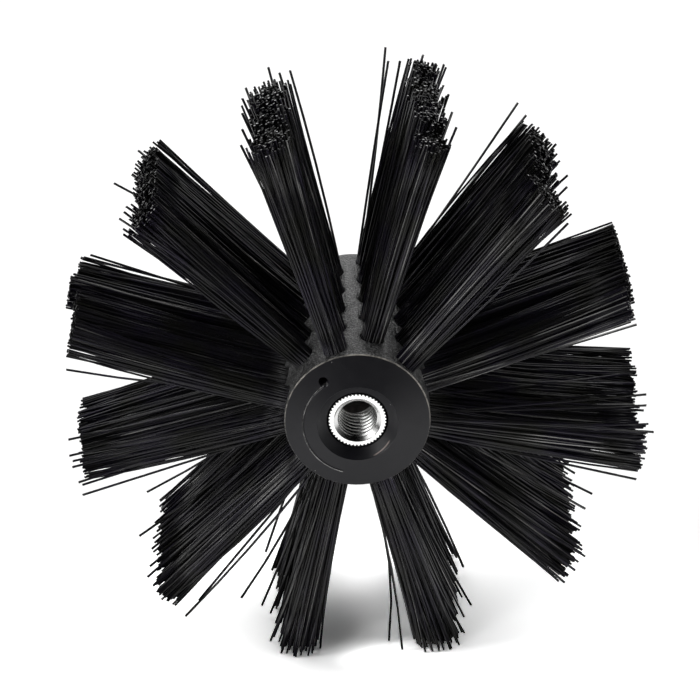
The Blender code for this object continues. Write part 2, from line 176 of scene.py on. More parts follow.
# The arc groove's angle and radius at its start, its end and its start a turn later, then its cross-section
GROOVE_ANGLES = np.radians([123, 252, 483])
GROOVE_RADII = np.array([9.1, 9.755, 9.1]) * MM
GROOVE_OFFSETS = np.array([-0.3, -0.18, -0.12, -0.05, 0.04, 0.1, 0.16, 0.22, 0.34]) * MM
GROOVE_HEIGHTS = np.array([0, 0.01, -0.06, -0.15, -0.15, -0.05, 0.035, 0.02, 0]) * MM
GROOVE_FADE = math.radians(4)
LOCATING_HOLE_RADIUS = 0.00075
LOCATING_HOLE_DEPTH = 0.003
LOCATING_HOLE_PLACE = 0.009805
LOCATING_HOLE_ANGLE = math.radians(124.5)
PLUG_SIDES = 40
PLUG_RADII = np.array([0, 0.8, 1, 1, 1.06, 1.5, 0]) * LOCATING_HOLE_RADIUS
PLUG_DEPTHS = np.array([1, 1, 0.96, 0.1, 0.03, -0.12, -0.12]) * LOCATING_HOLE_DEPTH

# Insert
THREAD_PITCH = 0.00125
THREAD_MAJOR = 0.004
THREAD_MINOR = 0.003323
THREAD_CREST = 1 / 8  # half of the thread's flat crest, in pitches
THREAD_FLANK = 5 / 16
KNURL_RADIUS = 0.0051
KNURL_DEPTH = 0.0003
KNURL_TEETH = 48
KNURL_ROUNDING = 1.4
INSERT_COLUMNS = 288
STATIONS_PER_PITCH = 16
MOUTH_CHAMFER = 0.00082
MOUTH_SLOPE = math.sqrt(3)
EDGE_CHAMFER = 0.00012
RING_STATIONS = np.array([0.04, 0.5, 0.96])
HUB_SMOOTH_ANGLE = math.radians(35)
INSERT_SMOOTH_ANGLE = math.radians(75)

# Finish of the strands: (place, colour) stops by a strand's shade or by noise, and the scales of the noise
NYLON_IOR = 1.4
NYLON_SHADES = [(0, 0.015), (0.8, 0.019), (0.93, 0.024), (1, 0.05)]
NYLON_ROUGHNESS = [(0, 0.07), (0.6, 0.12), (1, 0.25)]
NYLON_TINTS = [(0.36, (0.98, 0.86, 1.4)), (0.5, (1.0, 0.95, 1.12)), (0.64, (1.0, 1.0, 0.88))]
TINT_SCALE = 140
# One pale side on some strands is a painted highlight line
HIGHLIGHT_LINE_SCALE = 90
HIGHLIGHT_LINE_STRENGTHS = [(0.42, 0.15), (0.58, 1.0)]
HIGHLIGHT_LINE_COLOUR = (0.33, 0.325, 0.32)
# The cut ends are paler filament, and the palest of them are painted glints
CUT_END_SHADES_AND_GLINTS = [(0, 0.006), (0.6, 0.018), (1, 0.27)]
CUT_END_ROUGHNESS = [(0, 0.8), (0.6, 0.6), (1, 0.25)]
CUT_END_SHUFFLE = 3.77
ROUGHNESS_SHUFFLE = 7.31
NYLON_BUMP_SCALE = 2600
NYLON_BUMP = (0.15, 0.00003)

# Finish of the hub: the smooth face, the grained side and back, darkened by painted shade towards the hub's
# ends, and the dull upper side of the dish
FACE_COLOURS = [(0.3, (0.0062, 0.006, 0.0092)), (0.7, (0.0082, 0.0078, 0.0112))]
FACE_SCALE = 150
FACE_ROUGHNESS = [(0.3, 0.36), (0.7, 0.44)]
FACE_ROUGHNESS_SCALE = 700
FACE_BUMP_SHARE = 0.05
GRAIN_SHADES = [(0.36, 0.003), (0.5, 0.045), (0.62, 0.26)]
GRAIN_SCALE = 2900
# Painted shade: the grain is darkened towards the hub's front and back ends
GRAIN_PAINTED_SHADE_ALONG = [(0, 0.62), (0.3, 1.0), (0.6, 1.0), (0.85, 0.3)]
GRAIN_PATCHES = [(0.35, 0.5), (0.65, 1.0)]
GRAIN_PATCH_SCALE = 420
GRAIN_ROUGHNESS = [(0.3, 0.36), (0.7, 0.52)]
GRAIN_ROUGHNESS_SCALE = 900
HUB_BUMP = (0.9, 0.00025)
DISH_ROUGHNESS = (0.75, 0.75, 0.75)
DISH_DULL_HEIGHTS = (0.001, 0.005)

# Marks in the hub's finish: painted highlights on the rim and on the groove's lip, broken up by noise, a
# painted highlight streak low in the dish, dust, and the stud room's wall painted pale as painted light. A
# line has a half width and a soft edge.
HIGHLIGHT_BREAKS = [(0.35, 0.15), (0.6, 1.0)]
HIGHLIGHT_BREAK_SCALE = 500
COARSE_NOISE = 0.6
RIM_LINE = (0.4, 0.28, 0.2)  # its inset, half width and soft edge, as shares of the rim's fillet
RIM_HIGHLIGHT_HEIGHTS = (-0.003, 0.006)
RIM_HIGHLIGHT_LEAST = 0.05
RIM_HIGHLIGHT_STRENGTH = 0.9
RIM_HIGHLIGHT_COLOUR = (0.5, 0.47, 0.42)
RIM_ROUGHNESS = (0.2, 0.2, 0.2)
LIP_TURN = (2.8, 4)
LIP_OUTWARDS = (0.02 * MM, 0.19 * MM)
LIP_LINE = (0.06 * MM, 0.05 * MM)
LIP_END = 0.02
LIP_HIGHLIGHT_STRENGTH = 0.8
LIP_HIGHLIGHT_COLOUR = (0.62, 0.61, 0.6)
STREAK_RADIUS = 6.2 * MM
STREAK_FALL = -0.5 * MM  # of the radius for each radian
STREAK_LINE = (0.06 * MM, 0.06 * MM)
STREAK_ARC = (-0.9, 0.22, 0.1)  # its middle, half length and soft end, in radians
STREAK_HIGHLIGHT_STRENGTH = 0.8
STREAK_HIGHLIGHT_COLOUR = (0.42, 0.34, 0.31)
DUST_SCALE = 520
DUST_SIZE = 0.05
DUST_CHANCE = 0.9
DUST_COLOUR = (0.3, 0.3, 0.3)
STUD_ROOM_SHARE = 0.6
STUD_ROOM_SOFT = 0.1 * MM
STUD_ROOM_PAINTED_LIGHT_COLOUR = (0.38, 0.36, 0.35)

# Finish of the plated insert
PLATED_COLOURS = [(0.3, (0.9, 0.9, 0.89)), (0.7, (0.98, 0.98, 0.97))]
PLATED_SCALE = 900
PLATED_ROUGHNESS = [(0.3, 0.16), (0.7, 0.26)]
PLATED_ROUGHNESS_SCALE = 700
PLATED_BUMP_SCALE = 1500
PLATED_BUMP = (0.06, 0.00002)

# Floor, as the camera sees it: its gain in the open, then for each patch its place, its lengths along X and
# Y, the share of them at which it starts to fade, below 0 where that would be before its middle, and what it
# adds to the gain there. The patches paint light onto the brush's shadow, and one paints shade. In
# reflections
# the floor glows as painted light: its glow by shares of its reach, dim just under the brush as a painted
# shadow, and one brighter spot.
FLOOR_HALF = 3
PAPER = 0.8
OPEN_GAIN = 1.17
FLOOR_LIGHT_AND_SHADE_PATCHES = (
    ((-0.004, -0.022), (0.09, 0.069), -1.1, 7.9),
    ((0.004, -0.019), (0.014, 0.007), 0, 5),
    ((-0.006, -0.013), (0.0105, 0.022), 0, -2.6),
)
FLOOR_GLOW = [(0.05, 0.25), (0.13, 0.8), (0.27, 0.96), (0.36, 0.92), (0.6, 0.5), (0.85, 0.1), (1, 0.04)]
FLOOR_GLOW_REACH = 0.4
BRIGHT_SPOT = (0.006, -0.116, 0)
BRIGHT_SPOT_EDGES = (0.015, 0.055)
BRIGHT_SPOT_GLOW = 0.5

# Light: for each wall and window its direction, the edges of its glow, and its strength in reflections and
# as light on the brush; for each lamp its place, size and power
WALLS = (
    ((0, 1, 0), (-0.1, 0.7), 0, 2.35),
    ((1, 0, 0), (0.3, 0.9), 0, 1.15),
    ((0, 1, 0), (0.2, 0.8), 0.6, 0),
    ((0.9, 0.43, 0), (0.3, 0.9), 0.5, 0),
    ((-0.8, -0.59, 0.1), (0.85, 0.96), 0.5, 0),
    ((-0.54, -0.76, 0.36), (0.95, 0.98), 1.0, 0),
    ((-0.87, -0.1, 0.48), (0.97, 0.98), 3.2, 0),
    ((0, 0.9, 0.44), (0.92, 0.99), 2.1, 0),
)
LAMPS = {
    "overhead": ((0, 0.35, 1.0), (0.5, 0.4), 2),
    "left": ((-0.9, -0.1, 0.5), (0.3, 0.6), 1.5),
    "left front": ((-0.75, -0.7, 0.6), (0.3, 0.6), 1.25),
}
LAMP_AIM = (0, 0, 0.05)

# Camera: its angles, its distance from the middle of the hub's rim, and how many pixels that middle lies to
# the right of the frame's and below it
CAMERA_ELEVATION = math.radians(26.0)
CAMERA_AZIMUTH = math.radians(0.05)
CAMERA_ROLL = math.radians(2.844)
CAMERA_DISTANCE = 0.7871
CAMERA_CLIP = 20
FRAME_PIXELS = 700
FOCAL_PIXELS = 4573
PIXELS_PER_METRE = 5810
RIM_ASIDE = 7.5
RIM_BELOW = 70.3
SENSOR_WIDTH = 36


# Meshes

def grid_quads(rows, columns, wrap_rows=False, wrap_columns=False):
    """Corners of the quads of a grid of points numbered row by row; a wrapped direction joins its ends."""
    row_numbers = np.arange(rows - (not wrap_rows))
    column_numbers = np.arange(columns - (not wrap_columns))
    i, j = np.meshgrid(row_numbers, column_numbers, indexing="ij")
    i2, j2 = (i + 1) % rows, (j + 1) % columns
    corners = [i * columns + j, i * columns + j2, i2 * columns + j2, i2 * columns + j]
    return np.stack(corners, -1).reshape(-1, 4)


def mesh_of(name, points, quads):
    """A mesh from an array of points and an array of quads."""
    mesh = bpy.data.meshes.new(name)
    mesh.vertices.add(points.size // 3)
    mesh.vertices.foreach_set("co", np.ascontiguousarray(points, np.float32).ravel())
    mesh.loops.add(quads.size)
    mesh.loops.foreach_set("vertex_index", np.ascontiguousarray(quads, np.int32).ravel())
    mesh.polygons.add(len(quads))
    mesh.polygons.foreach_set("loop_start", np.arange(0, quads.size, 4, dtype=np.int32))
    mesh.update(calc_edges=True)
    return mesh


def new_piece(name, mesh, material, slot, *nodes):
    """A visible piece of this mesh and material, fixed to the brush, that stands for these nodes."""
    obj = bpy.data.objects.new(name, mesh)
    bpy.context.scene.collection.objects.link(obj)
    mesh.materials.append(material)
    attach(obj, "root")
    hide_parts(*nodes)
    return obj


def turned_points(radius, depth, angle):
    """Points at these radii and angles round the hub's axis, this far behind the rim plane."""
    radius, depth, angle = np.broadcast_arrays(radius, depth, angle)
    return np.stack([radius * np.cos(angle), RIM_Y + depth, AXIS_HEIGHT + radius * np.sin(angle)], -1)


def turned_profile(profile, angles):
    """A profile of (radius, depth) points carried round the hub's axis, as [angle, station, xyz]."""
    return turned_points(profile[None, :, 0], profile[None, :, 1], angles[:, None])


def welded(mesh):
    """Merges points that coincide, which closes the poles and seams, and turns the faces outwards."""
    bm = bmesh.new()
    bm.from_mesh(mesh)
    bmesh.ops.remove_doubles(bm, verts=bm.verts, dist=WELD_DISTANCE)
    bmesh.ops.dissolve_degenerate(bm, edges=bm.edges, dist=WELD_DISTANCE)
    bmesh.ops.recalc_face_normals(bm, faces=bm.faces)
    bm.to_mesh(mesh)
    bm.free()
    return mesh


def rim_fillet(start, end, centre):
    """Points of the rim's rounded edge: an arc round this centre between two angles."""
    angles = np.linspace(start, end, FILLET_STEPS + 1)
    return np.stack([centre[0] + RIM_FILLET * np.cos(angles), centre[1] + RIM_FILLET * np.sin(angles)], -1)


def cut(mesh, cutter_mesh):
    """The mesh with the cutter's solid taken out of it."""
    body = bpy.data.objects.new("body", mesh)
    cutter = bpy.data.objects.new("cutter", cutter_mesh)
    for obj in (body, cutter):
        bpy.context.scene.collection.objects.link(obj)
    modifier = body.modifiers.new("cut", "BOOLEAN")
    modifier.operation = "DIFFERENCE"
    modifier.solver = "EXACT"
    modifier.object = cutter
    bpy.context.view_layer.update()
    result = bpy.data.meshes.new_from_object(body.evaluated_get(bpy.context.evaluated_depsgraph_get()))
    for obj in (body, cutter):
        bpy.data.objects.remove(obj)
    for used in (mesh, cutter_mesh):
        bpy.data.meshes.remove(used)
    return result


# Hub

def face_depth(radius):
    """The coned face's depth, below 0 by its slope's tangent times the distance in from the rim's fillet."""
    return -(FACE_RADIUS - radius) * math.tan(FACE_SLOPE)


def inner_profile():
    """(radius, depth) from the stud room's middle out over the shoulder and the bore to the dish's edge.

    The stud room's wall has ridges, whose height is a squared sine. The dish is a straight slope with a
    rounded top.
    """
    shoulder = INSERT_LENGTH + CLEARANCE
    bottom = shoulder + STUD_ROOM_DEPTH
    room = np.linspace(bottom, shoulder, STATIONS_PER_RIDGE * STUD_ROOM_RIDGES + 1)
    ridge = STUD_ROOM_RIDGE * np.sin(np.linspace(0, math.pi * STUD_ROOM_RIDGES, len(room))) ** 2
    points = [(0, bottom), (STUD_ROOM_RADIUS / 2, bottom), *zip(STUD_ROOM_RADIUS - ridge, room)]
    points += [(BORE_RADIUS, shoulder), (BORE_RADIUS, shoulder / 2), (BORE_RADIUS, BORE_MOUTH)]
    radius = BORE_RADIUS + (DISH_EDGE_RADIUS - BORE_RADIUS) * DISH_STATIONS
    rounded = np.maximum(DISH_STATIONS - DISH_ROUND_START, 0) / (1 - DISH_ROUND_START)
    depth = face_depth(DISH_EDGE_RADIUS) * (DISH_STATIONS - DISH_ROUND_DROP * rounded)
    return np.concatenate([points, np.stack([radius, depth], -1)])


def face_points(angle):
    """The coned face between the dish's edge and the rim, as [angle, station, xyz].

    The face falls straight from the dish's edge to the rim. Nine of its stations follow the arc groove,
    whose radius passes evenly from its start to its end, and take on its cross-section between its two ends.
    """
    turn = np.where(angle < GROOVE_ANGLES[0], angle + math.tau, angle)
    middle = np.interp(turn, GROOVE_ANGLES, GROOVE_RADII)[:, None]
    inside = np.minimum(turn - GROOVE_ANGLES[0], GROOVE_ANGLES[1] - turn)
    share = np.clip(inside / GROOVE_FADE + 1 / 2, 0, 1)[:, None]
    start = DISH_EDGE_RADIUS + FACE_START
    before = start + (middle + GROOVE_OFFSETS[0] - start) * BEFORE_GROOVE
    after = FACE_RADIUS + (middle + GROOVE_OFFSETS[-1] - FACE_RADIUS) * AFTER_GROOVE
    radius = np.concatenate([before, middle + GROOVE_OFFSETS, after], 1)
    first = len(BEFORE_GROOVE)
    height = np.zeros_like(radius)
    height[:, first:first + len(GROOVE_HEIGHTS)] = GROOVE_HEIGHTS * share
    return turned_points(radius, face_depth(radius) - height, angle[:, None])


def back_profile():
    """(radius, depth) from the back rim's fillet in to the middle of the back, which has a low gate mark."""
    length = -2 * RIM_Y
    fillet = rim_fillet(0, math.pi / 2, (HUB_RADIUS - RIM_FILLET, length - RIM_FILLET))
    radii = np.linspace(HUB_RADIUS - RIM_FILLET, BACK_FLAT_END, BACK_RINGS)[1:]
    flat = np.stack([radii, np.full_like(radii, length)], -1)
    return np.concatenate([fillet[1:], flat, GATE_PROFILE + (0, length)])


def side_points():
    """The hub's side: a grid whose squares round each tuft hole are drawn in to circles and sunk.

    A point's ring is the larger of its two whole distances from its hole, in grid steps. Inner rings lie on
    circles round the hole at the ring's depth, outer ones pass over to the plain grid.
    """
    steps = 2 * SIDE_CELLS
    column_step = TUFT_PITCH / steps
    columns = np.arange(1, 2 * round(-RIM_Y / column_step + 1 / 2))
    i, k = np.meshgrid(np.arange(ROW_COUNT * steps), columns, indexing="ij")
    row = i // steps
    first = np.where(row % 2 == 0, steps, SIDE_CELLS)
    across = i - row * steps - SIDE_CELLS
    tuft = (k - first + SIDE_CELLS) // steps
    along = k - first - tuft * steps
    ring = np.maximum(np.abs(across), np.abs(along))
    plain = (tuft < 0) | (tuft >= TUFTS_PER_ROW) | (k == columns[0]) | (k == columns[-1])
    ring = np.where(plain, SIDE_CELLS, ring)
    away = np.maximum(np.hypot(across, along), 1)
    blend = HOLE_BLEND[ring]
    circle = HOLE_RINGS[ring] / away
    angle_step = ROW_STEP / steps
    place_across = across * (blend * angle_step * HUB_RADIUS + (1 - blend) * circle)
    place_along = along * (blend * column_step + (1 - blend) * circle)
    angle = (row + 1 / 2) * ROW_STEP + place_across / HUB_RADIUS
    middle = (first + tuft * steps) * column_step
    half = (columns[-1] + 1) / 2 * column_step
    y = middle + place_along - half
    y = np.clip(y, RIM_Y + RIM_FILLET * math.cos(FACE_SLOPE), -RIM_Y - RIM_FILLET)
    return turned_points(HUB_RADIUS - HOLE_DEPTHS[ring], y - RIM_Y, angle)


def locating_hole_cutter():
    """A round plug that opens a little at the hub's face: rings stacked along the direction of the axis."""
    turn = np.arange(PLUG_SIDES) * math.tau / PLUG_SIDES
    radius = PLUG_RADII[:, None]
    depth = face_depth(LOCATING_HOLE_PLACE) + PLUG_DEPTHS[:, None]
    x = LOCATING_HOLE_PLACE * math.cos(LOCATING_HOLE_ANGLE) + radius * np.cos(turn)
    z = LOCATING_HOLE_PLACE * math.sin(LOCATING_HOLE_ANGLE) + radius * np.sin(turn)
    points = np.stack([x, np.broadcast_to(RIM_Y + depth, x.shape), AXIS_HEIGHT + z], -1)
    return welded(mesh_of("plug", points, grid_quads(*x.shape, wrap_columns=True)))


def hub_mesh():
    """One profile turned round the axis, with its own face and side points, less the locating hole."""
    side = side_points()
    angles = np.arange(len(side)) * math.tau / len(side)
    fillet_centre = (HUB_RADIUS - RIM_FILLET, RIM_FILLET * math.cos(FACE_SLOPE))
    fillet = turned_profile(rim_fillet(FACE_SLOPE - math.pi / 2, 0, fillet_centre)[1:-1], angles)
    inner = turned_profile(inner_profile(), angles)
    back = turned_profile(back_profile(), angles)
    points = np.concatenate([inner, face_points(angles), fillet, side, back], 1)
    mesh = mesh_of("hub", points, grid_quads(*points.shape[:2], wrap_rows=True))
    return cut(welded(mesh), locating_hole_cutter())


# Insert

def insert_mesh():
    """A closed loop carried round the axis: up the thread, over the front ring, down the knurl and back in.

    Each station of the thread keeps its place on the thread's profile and winds back by a pitch each turn,
    cut off at the insert's ends, where its radius is that of the profile there. The profile is a clipped
    triangle wave. The knurl's radius falls between its teeth by a rounded cosine.
    """
    angle = (np.arange(INSERT_COLUMNS + 1) * math.tau / INSERT_COLUMNS)[:, None]
    turns = math.ceil(INSERT_LENGTH / THREAD_PITCH) + 1
    station = np.arange(turns * STATIONS_PER_PITCH, -1, -1)[None, :] / STATIONS_PER_PITCH
    depth = np.clip((station - angle / math.tau) * THREAD_PITCH, 0, INSERT_LENGTH)
    phase = np.abs((depth / THREAD_PITCH + angle / math.tau + 1 / 2) % 1 - 1 / 2)
    cut_in = np.clip((phase - THREAD_CREST) / THREAD_FLANK, 0, 1)
    thread = THREAD_MINOR + (THREAD_MAJOR - THREAD_MINOR) * cut_in
    bore = np.maximum(thread, THREAD_MINOR + np.maximum(MOUTH_CHAMFER - depth * MOUTH_SLOPE, 0))
    tooth = (1 / 2 - np.cos(angle * KNURL_TEETH) / 2) ** KNURL_ROUNDING
    knurl = KNURL_RADIUS - KNURL_DEPTH * tooth
    mouth = bore[:, -1:]
    ring = mouth + (knurl - EDGE_CHAMFER - mouth) * RING_STATIONS[None, :]
    outside = np.concatenate([knurl - EDGE_CHAMFER, knurl, knurl, knurl - EDGE_CHAMFER], 1)
    outside_depth = np.array([[0, EDGE_CHAMFER, INSERT_LENGTH - EDGE_CHAMFER, INSERT_LENGTH]])
    outside_depth = np.broadcast_to(outside_depth, outside.shape)
    radius = np.concatenate([bore, ring, outside], 1)
    depth = np.concatenate([depth, np.zeros_like(ring), outside_depth], 1)
    points = turned_points(radius, depth, angle)
    return welded(mesh_of("threaded insert", points, grid_quads(*points.shape[:2], wrap_columns=True)))


# Bristles

def bundle():
    """Places of a tuft's strands in its hole: the innermost points of a hexagonal lattice.

    Its lines lie a spacing times half the root of three apart, each half a spacing further along.
    """
    steps = np.arange(-LATTICE_REACH, LATTICE_REACH + 1)
    a, b = np.meshgrid(steps, steps)
    u = (a + b / 2).ravel() * STRAND_SPACING + LATTICE_OFFSET[0] * STRAND_SPACING
    w = b.ravel() * STRAND_SPACING * math.sqrt(3) / 2 + LATTICE_OFFSET[1] * STRAND_SPACING
    nearest = np.argsort(np.hypot(u, w))[:STRANDS_PER_TUFT]
    return u[nearest], w[nearest]


def tuft_roots(rng):
    """Places of a row's strands in their holes, across and along the row, each tuft's bundle turned."""
    u, w = bundle()
    turn = rng.uniform(0, math.tau, TUFTS_PER_ROW)[:, None]
    return (u * np.cos(turn) - w * np.sin(turn)).ravel(), (u * np.sin(turn) + w * np.cos(turn)).ravel()


def flared_tips(root_u, root_w, tuft, place, lay, rng):
    """Where the strands' tips lie across and along the row from their holes' middles, and from the axis.

    A tip lies at its root's place as a share of the bundle's radius, times half the tuft's width at its tips,
    times a power of the root's distance from the middle, which draws the core in. A few tips stand out
    further, all have a little jitter, and the row's lean, lag and fan are added. The distance from the axis
    is the row's less the trim of the strand, give or take that of its tuft.
    """
    lean, across, along, back, row_reach, fan = lay
    count = len(tuft)
    size = math.sqrt(STRANDS_PER_TUFT * math.sqrt(3) / 2 / math.pi) * STRAND_SPACING
    gather = (np.hypot(root_u, root_w) / size) ** CORE_PULL
    wild = np.where(rng.random(count) < WILD_SHARE, rng.uniform(*WILD_SPREAD, count), 1)
    tip_u = root_u / size * gather * across * MM * wild + rng.normal(0, TIP_JITTER, count)
    tip_u += row_reach * MM * math.radians(lean)
    tip_w = root_w / size * gather * along * MM * wild + rng.normal(0, TIP_JITTER, count)
    tip_w += (back + place * fan) * MM
    reach = row_reach * MM - np.abs(rng.normal(0, TRIM_SPREAD, count))
    reach += rng.normal(0, TUFT_TRIM_SPREAD, TUFTS_PER_ROW)[tuft]
    return tip_u, tip_w, reach


def soft_limit(value):
    """Leaves distances up to SQUARE_REACH as they are and draws longer ones in, never past END_REACH."""
    room = END_REACH - SQUARE_REACH
    over = np.maximum(np.abs(value) - SQUARE_REACH, 0)
    return np.sign(value) * (np.minimum(np.abs(value), SQUARE_REACH) + room * np.tanh(over / room))


def row_paths(degrees, shift, rng):
    """Points along the middle of each strand of a row, as [strand, station, xyz], and which are strays.

    From root to tip a strand rises evenly. It goes sideways by the share of the way times 1 less the curve
    times the share left, and bows by 4 times the share of the way times the share left. Strays are made of
    the strands that stand furthest to their tips' side of the hole. A strand whose tip would be lower than
    FLOOR_GAP is drawn in towards its root until the tip is there.
    """
    *lay, flare_curve = ROW_LAY[degrees]
    count = TUFTS_PER_ROW * STRANDS_PER_TUFT
    root_u, root_w = tuft_roots(rng)
    tuft = np.repeat(np.arange(TUFTS_PER_ROW), STRANDS_PER_TUFT)
    place = tuft - (TUFTS_PER_ROW - 1) / 2
    tip_u, tip_w, reach = flared_tips(root_u, root_w, tuft, place, lay, rng)
    curve = np.full(count, flare_curve)
    free = np.ones(count, bool)
    for stray_tuft, stray_u, stray_w, stray_reach, *stray_curve in STRAYS[degrees]:
        mine = np.flatnonzero((tuft == stray_tuft) & free)
        pick = mine[np.argmax(root_u[mine] * stray_u + root_w[mine] * stray_w)]
        tip_u[pick], tip_w[pick], reach[pick] = stray_u * MM, stray_w * MM, stray_reach * MM
        curve[pick], free[pick] = (stray_curve or [STRAY_CURVE])[0], False
    middle = place * TUFT_PITCH + shift
    tip_w = soft_limit(tip_w + middle) - middle
    tip_h = np.sqrt(reach**2 - tip_u**2)
    root_h = np.full(count, HUB_RADIUS - ROOT_DEPTH)
    s = np.array(STRAND_STATIONS)[None, :]
    swell = 4 * s * (1 - s)
    flare = s * (1 - curve[:, None] * (1 - s))
    path_u = root_u[:, None] + (tip_u - root_u)[:, None] * flare + rng.normal(0, BOW, (count, 1)) * swell
    path_w = root_w[:, None] + (tip_w - root_w)[:, None] * flare + rng.normal(0, BOW, (count, 1)) * swell
    path_h = root_h[:, None] + (tip_h - root_h)[:, None] * s
    angle = math.radians(degrees)
    out = np.array([math.cos(angle), 0, math.sin(angle)])
    side = np.array([-math.sin(angle), 0, math.cos(angle)])
    path = path_h[..., None] * out + path_u[..., None] * side
    path[..., 1] = path_w + middle[:, None]
    path[..., 2] += AXIS_HEIGHT
    root, tip = path[:, :1], path[:, -1:]
    fall = root[..., 2:] - np.minimum(tip[..., 2:], root[..., 2:] - LEAST_FALL)
    return root + (path - root) * np.minimum(1, (root[..., 2:] - FLOOR_GAP) / fall), ~free


def tube_points(path, radius, slope, heading):
    """Rings of points round each path, as [strand, station, side, xyz].

    The rings are square to the line between the path's ends. The last one is cut off square to the line out
    from the hub's axis, as by a trimming blade, but for this slope towards this heading.
    """
    chord = path[:, -1] - path[:, 0]
    chord /= np.linalg.norm(chord, axis=1, keepdims=True)
    first = np.cross(chord, (0, 1, 0))
    first /= np.linalg.norm(first, axis=1, keepdims=True)
    second = np.cross(chord, first)
    turn = np.arange(STRAND_SIDES) * math.tau / STRAND_SIDES
    ring = np.cos(turn)[None, :, None] * first[:, None] + np.sin(turn)[None, :, None] * second[:, None]
    offset = radius[:, None, None] * ring
    points = path[:, :, None] + offset[:, None]
    blade = (path[:, -1] - (0, 0, AXIS_HEIGHT)) * (1, 0, 1)
    blade /= np.linalg.norm(blade, axis=1, keepdims=True)
    blade += slope[:, None] * (np.cos(heading)[:, None] * first + np.sin(heading)[:, None] * second)
    rise = -np.einsum("nsk,nk->ns", offset, blade) / np.einsum("nk,nk->n", chord, blade)[:, None]
    rise -= rise.max(1, keepdims=True)
    points[:, -1] += rise[..., None] * chord[:, None]
    return points


def strand_quads():
    """Quads of one closed strand: its sides, then two for each end, which has six corners."""
    stations = len(STRAND_STATIONS)
    walls = grid_quads(stations, STRAND_SIDES, wrap_columns=True)
    cap = np.array([[0, 1, 2, 3], [0, 3, 4, 5]])
    return np.concatenate([walls, cap, cap[:, ::-1] + (stations - 1) * STRAND_SIDES])


def set_face_values(mesh, name, values):
    """Gives each face of a mesh a number that its material reads by this name."""
    attribute = mesh.attributes.new(name, "FLOAT", "FACE")
    attribute.data.foreach_set("value", values.astype(np.float32).ravel())


def build_row(row, material):
    """A row of five tufts as one piece, whose faces know their strand's shade, cut end and painted highlight
    line.
    """
    rng = np.random.default_rng(ROW_SEED + row)
    degrees = round(math.degrees((row + 1 / 2) * ROW_STEP))
    path, stray = row_paths(degrees, ROW_SHIFT if row % 2 == 0 else -ROW_SHIFT, rng)
    count = len(path)
    slope = np.abs(rng.normal(0, END_TILT, count))
    heading = rng.uniform(0, math.tau, count)
    points = tube_points(path, np.where(stray, STRAY_RADIUS, STRAND_RADIUS), slope, heading)
    one = strand_quads()
    faces = len(one)
    first_points = np.arange(count)[:, None, None] * len(STRAND_STATIONS) * STRAND_SIDES
    name = f"bristles_{degrees:03d}"
    mesh = mesh_of(name, points, (first_points + one).reshape(-1, 4))
    smooth = np.ones((count, faces), bool)
    smooth[:, -2 * END_QUADS:] = False
    mesh.polygons.foreach_set("use_smooth", smooth.ravel())
    set_face_values(mesh, "strand_shade", np.repeat(rng.random(count), faces))
    end = np.zeros((count, faces))
    end[:, -END_QUADS:] = 1
    set_face_values(mesh, "cut_end", end)
    highlight_line_side = np.where(rng.random(count) < HIGHLIGHT_LINE_SHARE, rng.integers(0, STRAND_SIDES, count), -1)
    highlight_line = np.arange(faces) % STRAND_SIDES == highlight_line_side[:, None]
    set_face_values(mesh, "highlight_line", highlight_line & smooth)
    node = name.replace("bristles", "bristle_row")
    return new_piece(name, mesh, material, "bristle_nylon", node)


# Nodes of the materials

def new_material(name):
    """A material with its node tree and its shader."""
    material = bpy.data.materials.new(name)
    material.use_nodes = True
    return material, material.node_tree, material.node_tree.nodes["Principled BSDF"]


def add_node(tree, kind, inputs=(), **settings):
    """A node with its settings, and its inputs joined to sockets or set to values by name or number."""
    made = tree.nodes.new("ShaderNode" + kind)
    for key, value in settings.items():
        setattr(made, key, value)
    for key, value in dict(inputs).items():
        if isinstance(value, bpy.types.NodeSocket):
            tree.links.new(value, made.inputs[key])
        else:
            made.inputs[key].default_value = value
    return made


def object_place(tree):
    """A point's place in its piece, which is its place in the brush."""
    return add_node(tree, "TexCoord").outputs["Object"]


def face_value(tree, name):
    """The number that set_face_values gave a face by this name."""
    return add_node(tree, "Attribute", attribute_name=name).outputs["Fac"]


def maths(tree, operation, first, second=0.0, third=0.0):
    """The result of a Math node."""
    return add_node(tree, "Math", {0: first, 1: second, 2: third}, operation=operation).outputs[0]


def product(tree, *factors):
    """All factors multiplied together."""
    result = factors[0]
    for factor in factors[1:]:
        result = maths(tree, "MULTIPLY", result, factor)
    return result


def noise(tree, scale, detail=3, roughness=0.5):
    """Noise with this many waves a metre."""
    inputs = {"Vector": object_place(tree), "Scale": scale, "Detail": detail, "Roughness": roughness}
    return add_node(tree, "TexNoise", inputs).outputs["Fac"]


def ramp(tree, value, stops):
    """A colour ramp through (position, colour) stops; a number stands for a grey."""
    made = add_node(tree, "ValToRGB", {"Fac": value})
    while len(made.color_ramp.elements) < len(stops):
        made.color_ramp.elements.new(0.5)
    for element, (place, colour) in zip(made.color_ramp.elements, stops):
        element.position = place
        element.color = (*colour, 1) if isinstance(colour, tuple) else (colour, colour, colour, 1)
    return made.outputs["Color"]


def carried(tree, value, start, end, low=0.0, high=1.0, **settings):
    """A value whose range from start to end is carried over to the range from low to high."""
    inputs = {"Value": value, "From Min": start, "From Max": end, "To Min": low, "To Max": high}
    return add_node(tree, "MapRange", inputs, **settings).outputs[0]


def band(tree, value, middle, half, soft):
    """1 where a value is within half of the middle, falling to 0 over the soft distance past it."""
    away = maths(tree, "ABSOLUTE", maths(tree, "SUBTRACT", value, middle))
    return carried(tree, away, half, half + soft, 1, 0)


